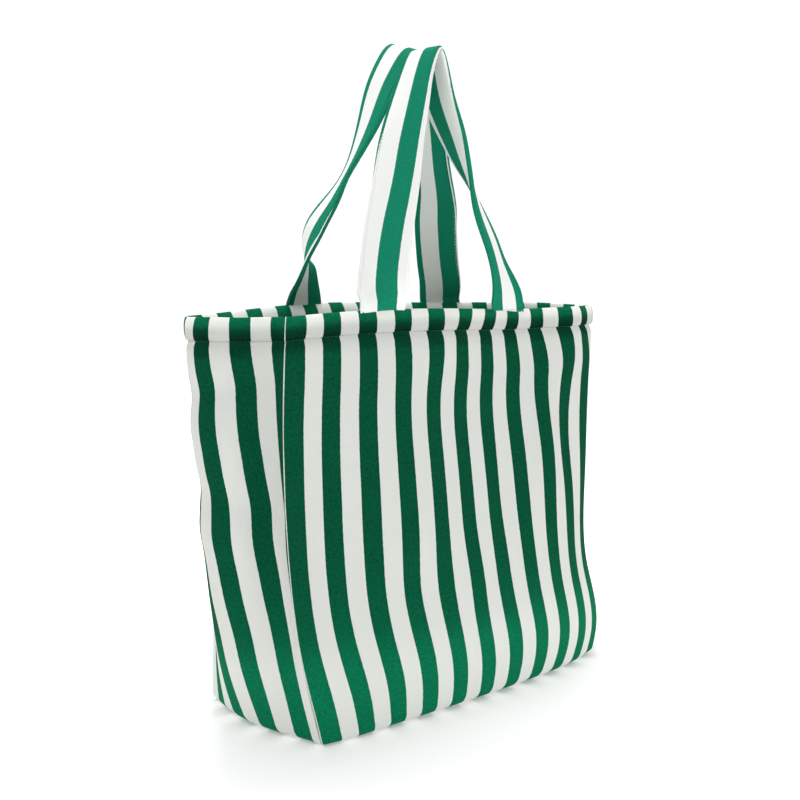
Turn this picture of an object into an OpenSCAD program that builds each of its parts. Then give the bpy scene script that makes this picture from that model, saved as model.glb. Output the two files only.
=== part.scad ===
// Soft striped tote bag: a boxed body of five sewn panels, a padded hem round
// the mouth and two carrying handles that swing on the hem.
// Origin: middle of the base, on the ground. +X right, +Y back, +Z up.

/* [Body] */
// Width of the base and of the front panel
body_w = 450; // [380:5:520]
// Depth of the base
body_d = 180; // [150:5:220]
// Depth of the mouth between the side seams
mouth_d = 150; // [130:2:170]
// Height from the ground to the top of the hem
body_h = 450; // [380:5:520]
// Outward bow of each side panel, from mid height up to the mouth
side_bow = 46; // [20:1:50]
// Outward bow of the front and back panels at their fullest
panel_bow = 38; // [10:1:45]
// Height at which the front and back panels are fullest
belly_z = 110; // [80:5:160]
// Radius of the soft edges round the base
base_round = 22; // [14:1:28]
// Thickness of the canvas
cloth_t = 3; // [2:0.5:4]

/* [Hem] */
// Height of the folded hem
hem_h = 24; // [18:1:32]
// Thickness of the folded hem
hem_t = 9; // [8:0.5:11]

/* [Handles] */
// Width of the handle band
band_w = 55; // [44:1:62]
// Thickness of the folded handle band
band_t = 5; // [4:0.1:6]
// Distance between the middles of the two legs of a handle
leg_spacing = 205; // [170:5:240]
// Height of the handles above the hem
handle_rise = 300; // [220:5:320]
// Gap between the two handles where they lean together
handle_gap = 3; // [2:0.5:8]
// Roundness of the handle's crest
crest_soft = 18; // [14:1:30]

/* [Hidden] */

green = [0.02, 0.42, 0.28];
cream = [0.93, 0.93, 0.91];
thread = [0.85, 0.86, 0.84];

// Air left between neighbouring cloth pieces
gap = 0.4;
// Where the panels end and the hem starts
hem_z = body_h - hem_h;
// Stitched line on the hem: its height above the lower edge, its thread and its air
stitch_rise = 2.5;
stitch_t = 0.8;
stitch_gap = 0.05;
// Width and thickness of the folded seam strips inside the bag
seam_w = 10;
seam_t = 3;
// Columns of the grids: across a front or back panel, and across a side panel
front_cols = 12;
side_cols = 8;
// Centre of the hem's rounded top
hem_top_z = body_h - hem_t / 2;

// ---- body shape: outer face of each wall, by side, place across and height ----

// Share of the height, 0 at the ground and 1 at the mouth
function rise(z) = z / body_h;
// How late on the way up the depth narrows: 1 is evenly, more is nearer the mouth
narrowing = 1.2;
// Depth between the front and back corners at a height
function depth_at(z) = body_d + (mouth_d - body_d) * pow(rise(z), narrowing);
// Smooth step from 0 to 1
function ease(t) = let (u = min(max(t, 0), 1)) u * u * (3 - 2 * u);
// Bow of the front and back panels at a height: none at the ground and the mouth
function panel_bow_at(z) = panel_bow
    * (z < belly_z ? ease(z / belly_z) : 1 - ease((z - belly_z) / (body_h - belly_z)));
// Height above which the side panels have their full bow
side_full_z = 150;
// Bow of the side panels at a height
function side_bow_at(z) = side_bow * ease(z / side_full_z);
// How far the wall draws in over the soft edge at the base
function draw_in(z) =
    z < base_round ? base_round - sqrt(pow(base_round, 2) - pow(base_round - z, 2)) : 0;
// A shallow arc, 0 at both ends and 1 in the middle
function arc(s) = 4 * s * (1 - s);

// Point on the outer face of the front wall, s from 0 at the left to 1 at the right
function front_point(s, z) = [
    (s - 0.5) * (body_w - 2 * draw_in(z)),
    draw_in(z) - depth_at(z) / 2 - panel_bow_at(z) * arc(s),
    z
];
// Point on the outer face of the left wall, s from 0 at the back to 1 at the front
function left_point(s, z) = [
    draw_in(z) - body_w / 2 - side_bow_at(z) * arc(s),
    (0.5 - s) * (depth_at(z) - 2 * draw_in(z)),
    z
];
function wall_point(side, s, z) = side == "front" ? front_point(s, z) : left_point(s, z);

function unit(v) = v / norm(v);
// Small steps used to find the wall's direction
ds = 0.002;
dz = 0.05;
// Outward normal of a wall
function wall_normal(side, s, z) = unit(cross(
    wall_point(side, s + ds, z) - wall_point(side, s - ds, z),
    wall_point(side, s, z + dz) - wall_point(side, s, max(z - dz, 0))
));
// Point at a depth below the outer face
function sunk(side, s, z, depth) =
    wall_point(side, s, z) - depth * wall_normal(side, s, z);

// A closed sheet between two grids of points, rows by columns
module closed_sheet(outer, inner) {
    rows = len(outer);
    cols = len(outer[0]);
    n = rows * cols;
    at = function(r, c) r * cols + c;
    points = concat([for (row = outer) each row], [for (row = inner) each row]);
    faces = concat(
        [for (r = [0 : rows - 2], c = [0 : cols - 2]) each [
            [at(r, c), at(r + 1, c), at(r + 1, c + 1)],
            [at(r, c), at(r + 1, c + 1), at(r, c + 1)],
            [n + at(r, c), n + at(r + 1, c + 1), n + at(r + 1, c)],
            [n + at(r, c), n + at(r, c + 1), n + at(r + 1, c + 1)]
        ]],
        [for (c = [0 : cols - 2]) each [
            [at(0, c), at(0, c + 1), n + at(0, c + 1)],
            [at(0, c), n + at(0, c + 1), n + at(0, c)],
            [at(rows - 1, c), n + at(rows - 1, c), n + at(rows - 1, c + 1)],
            [at(rows - 1, c), n + at(rows - 1, c + 1), at(rows - 1, c + 1)]
        ]],
        [for (r = [0 : rows - 2]) each [
            [at(r, 0), n + at(r, 0), n + at(r + 1, 0)],
            [at(r, 0), n + at(r + 1, 0), at(r + 1, 0)],
            [at(r, cols - 1), at(r + 1, cols - 1), n + at(r + 1, cols - 1)],
            [at(r, cols - 1), n + at(r + 1, cols - 1), n + at(r, cols - 1)]
        ]]
    );
    polyhedron(points = points, faces = faces, convexity = 6);
}

// Angle round the soft edge at which the wall panels start, above the base
edge_start = 8;
edge_steps = 5;
wall_steps = 9;
// Heights of the grid rows: close together over the soft edge, wide above it
panel_rows = concat(
    [for (i = [0 : edge_steps])
        base_round * (1 - cos(edge_start + i * (90 - edge_start) / edge_steps))],
    [for (i = [1 : wall_steps]) base_round + i * (hem_z - gap - base_round) / wall_steps]
);

// One wall panel from the base to the hem
module wall_panel(side, s_start, s_end, cols) {
    across = [for (i = [0 : cols]) s_start + (s_end - s_start) * i / cols];
    closed_sheet(
        [for (z = panel_rows) [for (s = across) wall_point(side, s, z)]],
        [for (z = panel_rows) [for (s = across) sunk(side, s, z, cloth_t)]]
    );
}

// Angle between the points of the hem's half-round top
top_step = 30;
// The hem's cross-section: a flat lower edge and a half-round top, as
// pairs of a depth behind the hem's outer face and a height
hem_profile = concat(
    [[0, hem_z], [0, hem_top_z]],
    [for (a = [top_step : top_step : 180 - top_step])
        [hem_t / 2 * (1 - cos(a)), hem_top_z + hem_t / 2 * sin(a)]],
    [[hem_t, hem_top_z], [hem_t, hem_z]]
);
// How far the hem stands proud of the panel
hem_proud = (hem_t - cloth_t) / 2;
// Level outward direction of a wall at the mouth
function mouth_normal(side, s) =
    let (n = wall_normal(side, s, body_h)) unit([n[0], n[1]]);

// One side of the hem, swept along the wall
module hem_band(side, s_start, s_end, cols) {
    k = len(hem_profile);
    rings = [for (i = [0 : cols]) let (s = s_start + (s_end - s_start) * i / cols)
        [for (p = hem_profile)
            let (base = wall_point(side, s, body_h), out = mouth_normal(side, s))
            [base[0] - (p[0] - hem_proud) * out[0], base[1] - (p[0] - hem_proud) * out[1], p[1]]]];
    tube(rings, k);
}

// A closed solid through a list of rings of k points each, which run
// anticlockwise seen from the first ring along the row
module tube(rings, k) {
    last = len(rings) - 1;
    polyhedron(
        points = [for (ring = rings) each ring],
        faces = concat(
            [[for (j = [k - 1 : -1 : 0]) j]],
            [for (i = [0 : last - 1], j = [0 : k - 1]) let (m = (j + 1) % k) each [
                [i * k + j, (i + 1) * k + m, (i + 1) * k + j],
                [i * k + j, i * k + m, (i + 1) * k + m]
            ]],
            [[for (j = [0 : k - 1]) last * k + j]]
        ),
        convexity = 8
    );
}

// Turned half a turn about the vertical: front becomes back, left becomes right
module opposite() {
    rotate([0, 0, 180]) children();
}

// ---- panels ----

// The side panels stop short of the front and back panels by this share
side_trim = (cloth_t + gap) / (body_d - 2 * base_round);

module front_panel() {
    color(green) wall_panel("front", 0, 1, front_cols);
}

module back_panel() {
    color(green) opposite() wall_panel("front", 0, 1, front_cols);
}

module left_gusset() {
    color(cream) wall_panel("left", side_trim, 1 - side_trim, side_cols);
}

module right_gusset() {
    color(cream) opposite() wall_panel("left", side_trim, 1 - side_trim, side_cols);
}

// Flat base, which ends where the wall panels start
base_inset = draw_in(panel_rows[0]) + cloth_t * sin(edge_start) + gap;
module base_panel() {
    color(cream)
        translate([0, 0, cloth_t / 2])
            cube([body_w - 2 * base_inset, body_d - 2 * base_inset, cloth_t], center = true);
}

// ---- hem ----

// The side hems stop short of the front and back hems by this share
hem_trim = 0.026;
// The front and back stitch lines stop short of the corners by this share
stitch_trim = 0.002;
// Middle of the front hem's thickness
hem_mid_y = hem_t / 2 - hem_proud - mouth_d / 2;
// Height above the hem's lower edge to which the handle ends reach down
end_rise = 5;

// The hem is sewn round the handle ends: a pocket for one of them, open at the top
module end_pocket(x) {
    translate([x, hem_mid_y, hem_z + end_rise + hem_h / 2])
        cube([band_w + 2 * gap, band_t + 2 * gap, hem_h], center = true);
}

// The straight hem of the front panel
module front_band() {
    difference() {
        translate([0, hem_mid_y - hem_t / 2, 0])
            rotate([90, 0, 90])
                linear_extrude(body_w, center = true) polygon(hem_profile);
        end_pocket(-leg_spacing / 2);
        end_pocket(leg_spacing / 2);
    }
}

module front_hem() {
    color(green) front_band();
}

module back_hem() {
    color(green) opposite() front_band();
}

module left_hem() {
    color(cream) hem_band("left", hem_trim, 1 - hem_trim, side_cols);
}

module right_hem() {
    color(cream) opposite() hem_band("left", hem_trim, 1 - hem_trim, side_cols);
}

// The sewn line near the hem's lower edge, a thread on the outer face of each side
module stitch_line(side, s_start, s_end, cols) {
    rings = [for (i = [0 : cols]) let (s = s_start + (s_end - s_start) * i / cols)
        let (base = wall_point(side, s, body_h), out = mouth_normal(side, s),
            off = hem_proud + stitch_gap)
        [for (p = [[0, 0], [stitch_t, 0], [stitch_t, stitch_t], [0, stitch_t]])
            [base[0] + (off + p[0]) * out[0], base[1] + (off + p[0]) * out[1],
                hem_z + stitch_rise + p[1]]]];
    tube(rings, 4);
}

module hem_topstitch() {
    color(thread) {
        stitch_line("front", stitch_trim, 1 - stitch_trim, front_cols);
        stitch_line("left", hem_trim, 1 - hem_trim, side_cols);
        opposite() stitch_line("front", stitch_trim, 1 - stitch_trim, front_cols);
        opposite() stitch_line("left", hem_trim, 1 - hem_trim, side_cols);
    }
}

// ---- seams inside the body ----

// How far a corner seam strip stops short of the soft edge below and the hem above
seam_short = 8;
// Heights where a corner seam strip starts and ends
seam_z = [base_round + seam_short, hem_z - seam_short];
// Air between the walls' inner corner and the strip
seam_clear = 2.4;

// Folded seam strip up the inside of the front left corner
module corner_strip() {
    along = [1, 1] / sqrt(2);
    across = [1, -1] / sqrt(2);
    rings = [for (z = seam_z)
        let (corner = [cloth_t - body_w / 2, cloth_t - depth_at(z) / 2])
        [for (p = [[0, 1], [1, 1], [1, -1], [0, -1]])
            let (q = corner + (seam_clear + p[0] * seam_w) * along + p[1] * seam_t / 2 * across)
            [q[0], q[1], z]]];
    tube(rings, 4);
}

module front_left_seam() {
    color(cream) corner_strip();
}

module front_right_seam() {
    color(cream) mirror([1, 0, 0]) corner_strip();
}

module back_left_seam() {
    color(cream) mirror([0, 1, 0]) corner_strip();
}

module back_right_seam() {
    color(cream) opposite() corner_strip();
}

// Distance from the body's outer face to the seam round the base
base_seam_step = 4;
base_seam_in = base_round + base_seam_step;
// Folded seam standing on the base, all the way round
module base_seam() {
    color(cream)
        translate([0, 0, cloth_t])
            linear_extrude(seam_w)
                difference() {
                    square([body_w - 2 * base_seam_in, body_d - 2 * base_seam_in], center = true);
                    square([body_w - 2 * base_seam_in - 2 * seam_t,
                        body_d - 2 * base_seam_in - 2 * seam_t], center = true);
                }
}

// ---- handles ----

// Middle of the band at the crest, where it lies across the body
crest_y = -(handle_gap + band_w) / 2;
// Lowest and highest points of the swinging part of a handle's middle line
leg_z = body_h + gap;
crest_z = body_h + handle_rise - band_t / 2;
half_span = leg_spacing / 2;
// Share of the height over which the band comes upright, and where its turn starts and lasts
upright_share = 0.15;
turn_start = 0.04;
turn_share = 0.7;

// Height of a handle's middle line over the place across, an upturned V with a soft crest
function handle_z(x) = crest_z - (crest_z - leg_z)
    * (sqrt(pow(x, 2) + pow(crest_soft, 2)) - crest_soft)
    / (sqrt(pow(half_span, 2) + pow(crest_soft, 2)) - crest_soft);
// Share of the height of a handle, 0 at the hem and 1 at the crest
function climb(x) = (handle_z(x) - leg_z) / (crest_z - leg_z);
// A point of the front handle's middle line: it leans in from the hem to the crest
function handle_point(x) =
    [x, hem_mid_y + (crest_y - hem_mid_y) * ease(climb(x)), handle_z(x)];
// Direction along the front handle, upright where it leaves the hem
function handle_run(x) =
    let (rate = (handle_z(x + ds) - handle_z(x - ds)) / (2 * ds),
        raw = unit([1, 0, rate]),
        upright = [0, 0, x < 0 ? 1 : -1],
        share = ease(climb(x) / upright_share))
    unit(share * raw + (1 - share) * upright);
// The band faces front at the hem and makes a quarter turn on its way to the crest
function handle_face(x) =
    let (turn = 90 * ease((climb(x) - turn_start) / turn_share),
        run = handle_run(x))
    cos(turn) * [0, -1, 0] + sin(turn) * [-run[2], 0, run[0]];

// Cross-section of the band with eased edges, as shares of its half width and half thickness
face_share = 0.92;
edge_share = 0.45;
band_profile = [
    [1, edge_share], [face_share, 1], [-face_share, 1], [-1, edge_share],
    [-1, -edge_share], [-face_share, -1], [face_share, -1], [1, -edge_share]
];
// Places across the span, closer together at the crest
handle_steps = 14;
crest_crowding = 1.5;
handle_places = [for (i = [-handle_steps : handle_steps])
    half_span * sign(i) * pow(abs(i) / handle_steps, crest_crowding)];

module handle_loop() {
    rings = [for (x = handle_places)
        let (middle = handle_point(x), face = handle_face(x), side = cross(handle_run(x), face))
        [for (p = band_profile)
            middle + p[0] * band_w / 2 * side + p[1] * band_t / 2 * face]];
    tube(rings, len(band_profile));
}

module front_handle() {
    color(green) handle_loop();
}

module back_handle() {
    color(green) opposite() handle_loop();
}

// Air between a handle end and the swinging band above it
end_clear = 1;
end_h = hem_h - end_rise - 2 * gap - end_clear;
// One handle end, sewn into the hem at the front left
module handle_end() {
    translate([-half_span, hem_mid_y, hem_z + end_rise + gap + end_h / 2])
        cube([band_w, band_t, end_h], center = true);
}

module front_handle_left_end() {
    color(green) handle_end();
}

module front_handle_right_end() {
    color(green) mirror([1, 0, 0]) handle_end();
}

module back_handle_left_end() {
    color(green) mirror([0, 1, 0]) handle_end();
}

module back_handle_right_end() {
    color(green) opposite() handle_end();
}

front_panel();
back_panel();
left_gusset();
right_gusset();
base_panel();
front_hem();
back_hem();
left_hem();
right_hem();
hem_topstitch();
front_left_seam();
front_right_seam();
back_left_seam();
back_right_seam();
base_seam();
front_handle();
back_handle();
front_handle_left_end();
front_handle_right_end();
back_handle_left_end();
back_handle_right_end();
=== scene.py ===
"""Soft striped canvas tote bag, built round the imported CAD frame.

Lengths are in metres unless a table says centimetres. The bag's cloth is printed with
stripes of one width, so every piece carries its place on the flat cloth in the UV map
named "cloth", in metres, and the material draws the stripes, the weave and the wear there.
"""
import math

import bpy
import numpy as np
from mathutils import Matrix, Vector


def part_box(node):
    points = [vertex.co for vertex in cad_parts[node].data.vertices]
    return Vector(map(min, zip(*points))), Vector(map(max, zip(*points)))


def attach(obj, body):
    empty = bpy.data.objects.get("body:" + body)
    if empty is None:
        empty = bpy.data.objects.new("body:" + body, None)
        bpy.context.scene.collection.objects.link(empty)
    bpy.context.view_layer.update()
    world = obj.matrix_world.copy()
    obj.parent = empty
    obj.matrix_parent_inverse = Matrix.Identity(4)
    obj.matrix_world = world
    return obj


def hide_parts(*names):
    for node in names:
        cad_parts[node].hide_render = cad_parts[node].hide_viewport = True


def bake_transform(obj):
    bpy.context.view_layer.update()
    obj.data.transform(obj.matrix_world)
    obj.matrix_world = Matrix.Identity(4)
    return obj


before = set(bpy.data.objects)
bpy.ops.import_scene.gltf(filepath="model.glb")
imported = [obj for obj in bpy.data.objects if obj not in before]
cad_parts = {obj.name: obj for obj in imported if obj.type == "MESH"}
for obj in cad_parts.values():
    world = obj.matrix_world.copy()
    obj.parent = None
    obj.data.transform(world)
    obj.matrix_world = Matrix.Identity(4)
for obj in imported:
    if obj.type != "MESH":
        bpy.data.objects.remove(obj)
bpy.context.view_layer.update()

CM = 0.01
MM = 0.001

# ---- sizes: the cloth, and what the frame gives ----

STRIPE = 2.118 * CM
CLOTH = 2.8 * MM
RIM_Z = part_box("front_hem")[1].z
HEM_H = RIM_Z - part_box("front_hem")[0].z
FRONT_W = 45.4 * CM
SIDE_W = 18.2 * CM
BAND_W = 5.45 * CM
BAND_T = 5.0 * MM


# ---- small tools ----

def spline(xs, ys):
    """A smooth curve through points: natural cubic, ys may be rows of several values."""
    xs, ys = np.asarray(xs, float), np.asarray(ys, float)
    n, h = len(xs), np.diff(xs)
    a = np.zeros((n, n))
    b = np.zeros((n,) + ys.shape[1:])
    a[0, 0] = a[-1, -1] = 1
    for i in range(1, n - 1):
        a[i, i - 1:i + 2] = h[i - 1], 2 * (h[i - 1] + h[i]), h[i]
        b[i] = 6 * ((ys[i + 1] - ys[i]) / h[i] - (ys[i] - ys[i - 1]) / h[i - 1])
    m = np.linalg.solve(a, b.reshape(n, -1)).reshape(b.shape)

    def at(x):
        x = np.asarray(x, float)
        i = np.clip(np.searchsorted(xs, x) - 1, 0, n - 2)
        t, u, w = x - xs[i], xs[i + 1] - x, h[i]
        shape = x.shape + (1,) * (ys.ndim - 1)
        t, u, w = t.reshape(shape), u.reshape(shape), w.reshape(shape)
        return ((m[i] * u ** 3 + m[i + 1] * t ** 3) / (6 * w)
                + (ys[i] / w - m[i] * w / 6) * u + (ys[i + 1] / w - m[i + 1] * w / 6) * t)
    return at


def smooth(t):
    """A soft step: 0 below 0, 1 above 1, and an even S-shaped rise between them."""
    t = np.clip(t, 0, 1)
    return t * t * (3 - 2 * t)


def unit(v):
    return v / np.maximum(np.linalg.norm(v, axis=-1, keepdims=True), 1e-12)


def run_length(points):
    """Distance along a line of points, from its first, to each of them."""
    return np.concatenate([[0], np.cumsum(np.linalg.norm(np.diff(points, axis=0), axis=1))])


def mesh_object(name, verts, faces, uv, materials=(), face_material=None):
    """A mesh from arrays, with the place of each vertex on the flat cloth as its UV."""
    mesh = bpy.data.meshes.new(name)
    mesh.from_pydata([tuple(v) for v in verts], [], [tuple(f) for f in faces])
    layer = mesh.uv_layers.new(name="cloth")
    index = np.zeros(len(mesh.loops), int)
    mesh.loops.foreach_get("vertex_index", index)
    layer.data.foreach_set("uv", np.asarray(uv, float)[index].ravel())
    for m in materials:
        mesh.materials.append(m)
    if face_material is not None:
        mesh.polygons.foreach_set("material_index", np.asarray(face_material, np.int32))
    mesh.polygons.foreach_set("use_smooth", np.ones(len(mesh.polygons), bool))
    mesh.update()
    obj = bpy.data.objects.new(name, mesh)
    bpy.context.scene.collection.objects.link(obj)
    return obj


def grid_faces(rows, cols, first=0, flip=False, wrap=False):
    """Four-sided faces of a grid of vertices, whose last column meets its first if wrap."""
    out = []
    for r in range(rows - 1):
        for c in range(cols if wrap else cols - 1):
            d = (c + 1) % cols
            q = [first + r * cols + c, first + r * cols + d,
                 first + (r + 1) * cols + d, first + (r + 1) * cols + c]
            out.append(q[::-1] if flip else q)
    return out


def closed_sheet(name, outer, inner, uv, materials):
    """A thick sheet between two grids of points, closed round its edges."""
    rows, cols = outer.shape[:2]
    n = rows * cols
    verts = np.concatenate([outer.reshape(-1, 3), inner.reshape(-1, 3)])
    uvs = np.concatenate([uv.reshape(-1, 2), uv.reshape(-1, 2)])
    faces = grid_faces(rows, cols) + grid_faces(rows, cols, n, flip=True)
    ring = (list(range(cols)) + [r * cols + cols - 1 for r in range(1, rows)]
            + [(rows - 1) * cols + c for c in range(cols - 2, -1, -1)]
            + [r * cols for r in range(rows - 2, 0, -1)])
    for i, j in zip(ring, ring[1:] + ring[:1]):
        faces.append([j, i, n + i, n + j])
    return mesh_object(name, verts, faces, uvs, materials)


# ---- camera, light and floor ----

CAMERA_AT = (-0.683, -0.859, 0.4715)
AZIMUTH, ELEVATION, ROLL = (math.radians(a) for a in (-37.4, 6.72, -1.17))
LENS, SENSOR = 41.0, 36
# The world's strength on the camera's side and behind the bag, and where it changes over
ROOM_LIGHT, BACKDROP_LIGHT = 0.42, 1.06
ROOM_END, BACKDROP_START = -0.35, 0.75
# Each light's name, place, the point that it is aimed at, width and height, and watts
LIGHTS = (("key", (-1.3, -0.55, 1.6), (0, 0, 0.3), (0.9, 0.9), 10),
          ("overhead", (0.3, 0.4, 1.8), (0, 0, 0.5), (1.0, 0.8), 20),
          ("low_front", (0.25, -1.15, 0.22), (0.05, 0, 0.05), (0.9, 0.3), 2.8))
# The floor's glow near the bag and away from it, and the radii between which it changes
FLOOR_GLOW_NEAR, FLOOR_GLOW = 0.27, 0.60
GLOW_START, GLOW_END = 0.24, 0.60
FLOOR_HALF = 9.0
FLOOR_DROP = 0.5 * MM


def make_camera():
    """The view of the photo: looking down a little, and rolled by about a degree."""
    back = np.array([math.sin(AZIMUTH) * math.cos(ELEVATION),
                     -math.cos(AZIMUTH) * math.cos(ELEVATION), math.sin(ELEVATION)])
    right = unit(np.cross(-back, (0, 0, 1)))
    up = np.cross(right, -back)
    right, up = (math.cos(ROLL) * right + math.sin(ROLL) * up,
                 -math.sin(ROLL) * right + math.cos(ROLL) * up)
    data = bpy.data.cameras.new("camera")
    data.lens = LENS
    data.sensor_width = SENSOR
    camera = bpy.data.objects.new("camera", data)
    camera.matrix_world = Matrix([[right[i], up[i], back[i], CAMERA_AT[i]]
                                  for i in range(3)] + [[0, 0, 0, 1]])
    bpy.context.scene.collection.objects.link(camera)
    bpy.context.scene.camera = camera


def area_light(name, place, target, size, power):
    """A soft white light that the camera doesn't see."""
    data = bpy.data.lights.new(name, "AREA")
    data.shape = "RECTANGLE"
    data.size, data.size_y = size
    data.energy = power
    light = bpy.data.objects.new(name, data)
    aim = unit(np.array(target, float) - np.array(place, float))
    light.location = place
    light.rotation_mode = "QUATERNION"
    light.rotation_quaternion = Vector(aim).to_track_quat("-Z", "Y")
    light.visible_camera = False
    bpy.context.scene.collection.objects.link(light)


def make_world():
    """A white backdrop behind the bag, and a dimmer room on the side that it is seen from."""
    bpy.context.scene.view_settings.view_transform = "Standard"
    world = bpy.data.worlds.new("studio")
    bpy.context.scene.world = world
    world.use_nodes = True
    tree = world.node_tree
    place = tree.nodes.new("ShaderNodeTexCoord")
    facing = tree.nodes.new("ShaderNodeVectorMath")
    facing.operation = "DOT_PRODUCT"
    facing.inputs[1].default_value = (-math.sin(AZIMUTH), math.cos(AZIMUTH), 0)
    fade = tree.nodes.new("ShaderNodeMapRange")
    fade.interpolation_type = "SMOOTHSTEP"
    steps = (ROOM_END, BACKDROP_START, ROOM_LIGHT, BACKDROP_LIGHT)
    for socket, value in zip(list(fade.inputs)[1:5], steps):
        socket.default_value = value
    tree.links.new(place.outputs["Generated"], facing.inputs[0])
    tree.links.new(facing.outputs["Value"], fade.inputs[0])
    background = tree.nodes["Background"]
    background.inputs["Color"].default_value = (1, 1, 1, 1)
    tree.links.new(fade.outputs[0], background.inputs["Strength"])


def make_floor():
    """A white floor that glows away from the bag, so that the bag's own shadow stays dark."""
    floor = bpy.data.meshes.new("floor")
    e = FLOOR_HALF
    floor.from_pydata([(-e, -e, 0), (e, -e, 0), (e, e, 0), (-e, e, 0)], [], [(0, 1, 2, 3)])
    m = bpy.data.materials.new("floor_white")
    m.use_nodes = True
    shader = m.node_tree.nodes["Principled BSDF"]
    shader.inputs["Base Color"].default_value = (0.85, 0.85, 0.85, 1)
    shader.inputs["Emission Color"].default_value = (1, 1, 1, 1)
    spot = m.node_tree.nodes.new("ShaderNodeTexCoord")
    reach = m.node_tree.nodes.new("ShaderNodeVectorMath")
    reach.operation = "LENGTH"
    glow = m.node_tree.nodes.new("ShaderNodeMapRange")
    glow.interpolation_type = "SMOOTHSTEP"
    glow_steps = (GLOW_START, GLOW_END, FLOOR_GLOW_NEAR, FLOOR_GLOW)
    for socket, value in zip(list(glow.inputs)[1:5], glow_steps):
        socket.default_value = value
    m.node_tree.links.new(spot.outputs["Object"], reach.inputs[0])
    m.node_tree.links.new(reach.outputs["Value"], glow.inputs[0])
    m.node_tree.links.new(glow.outputs[0], shader.inputs["Emission Strength"])
    shader.inputs["Roughness"].default_value = 0.9
    shader.inputs["Specular IOR Level"].default_value = 0.1
    floor.materials.append(m)
    obj = bpy.data.objects.new("floor", floor)
    obj.location.z = -FLOOR_DROP
    bpy.context.scene.collection.objects.link(obj)


# ---- materials ----

GREEN = (0.001, 0.060, 0.027)
# the bands' green: the body's green painted lighter, painted light from above on the handles
BAND_GREEN_PAINTED_LIGHT = (0.008, 0.205, 0.118)
OFF_WHITE = (0.640, 0.660, 0.620)
# the bands' white: the body's white painted lighter, painted light from above on the handles
BAND_WHITE_PAINTED_LIGHT = (0.86, 0.875, 0.85)
# What a white looks like in its fibres' shade, and where the cloth has yellowed
FIBRE_SHADE = 0.90
YELLOWED = (0.95, 0.94, 0.90)
THREAD_DARK, THREAD_LIGHT = (0.035, 0.085, 0.06, 1), (0.08, 0.16, 0.12, 1)
THREAD_PITCH = 0.9 * MM
# Scales of the noises on the cloth, per metre: patches, mottling, fibres, and the two that
# make the edges of the stripes waver
PATCHES, MOTTLES, FIBRES = 28, 340, 1500
EDGE_FINE, EDGE_LONG = 260, 14
PRINT_WOBBLE = 0.35 * MM
PRINT_SOFT = 0.25 * MM
BUMP_HEIGHT = 0.35 * MM
# The largest factor that Nodes.tint can hold: a float curve runs only from 0 to 1
TINT_TOP = 3.0


class Nodes:
    """Shorthand for building one material's nodes."""

    def __init__(self, name):
        self.material = bpy.data.materials.new(name)
        self.material.use_nodes = True
        self.tree = self.material.node_tree
        self.shader = self.tree.nodes["Principled BSDF"]

    def add(self, kind, **settings):
        node = self.tree.nodes.new(kind)
        for key, value in settings.items():
            setattr(node, key, value)
        return node

    def put(self, socket, value):
        if isinstance(value, bpy.types.NodeSocket):
            self.tree.links.new(value, socket)
        elif value is not None:
            socket.default_value = value

    def math(self, operation, a, b=None, c=None):
        node = self.add("ShaderNodeMath", operation=operation)
        for socket, value in zip(node.inputs, (a, b, c)):
            self.put(socket, value)
        return node.outputs[0]

    def mix(self, factor, a, b):
        node = self.add("ShaderNodeMix", data_type="RGBA")
        self.put(node.inputs[0], factor)
        self.put(node.inputs[6], a)
        self.put(node.inputs[7], b)
        return node.outputs[2]

    def noise(self, vector, scale, detail=2.0, rough=0.5):
        node = self.add("ShaderNodeTexNoise", noise_dimensions="3D")
        self.put(node.inputs["Vector"], vector)
        self.put(node.inputs["Scale"], scale)
        self.put(node.inputs["Detail"], detail)
        self.put(node.inputs["Roughness"], rough)
        return node.outputs["Fac"]

    def tint(self, colour, place, painted_shading):
        """colour times a factor that runs through (place, factor) pairs."""
        low, high = painted_shading[0][0], painted_shading[-1][0]
        ramp = self.add("ShaderNodeFloatCurve")
        curve = ramp.mapping.curves[0]
        for k, (at, factor) in enumerate(painted_shading):
            point = ((at - low) / (high - low), factor / TINT_TOP)
            if k in (0, len(painted_shading) - 1):
                curve.points[0 if k == 0 else -1].location = point
            else:
                curve.points.new(*point)
        ramp.mapping.update()
        share = self.shade(place, low, high, 0.0, 1.0)
        self.put(ramp.inputs["Value"], share)
        factor = self.math("MULTIPLY", ramp.outputs[0], TINT_TOP)
        node = self.add("ShaderNodeVectorMath", operation="SCALE")
        self.put(node.inputs[0], colour)
        self.put(node.inputs["Scale"], factor)
        return node.outputs[0]

    def shade(self, value, low, high, out_low, out_high):
        """value, in a straight line from low to high, turned into out_low to out_high."""
        node = self.add("ShaderNodeMapRange")
        for socket, v in zip(node.inputs, (value, low, high, out_low, out_high)):
            self.put(socket, v)
        return node.outputs[0]


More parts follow.
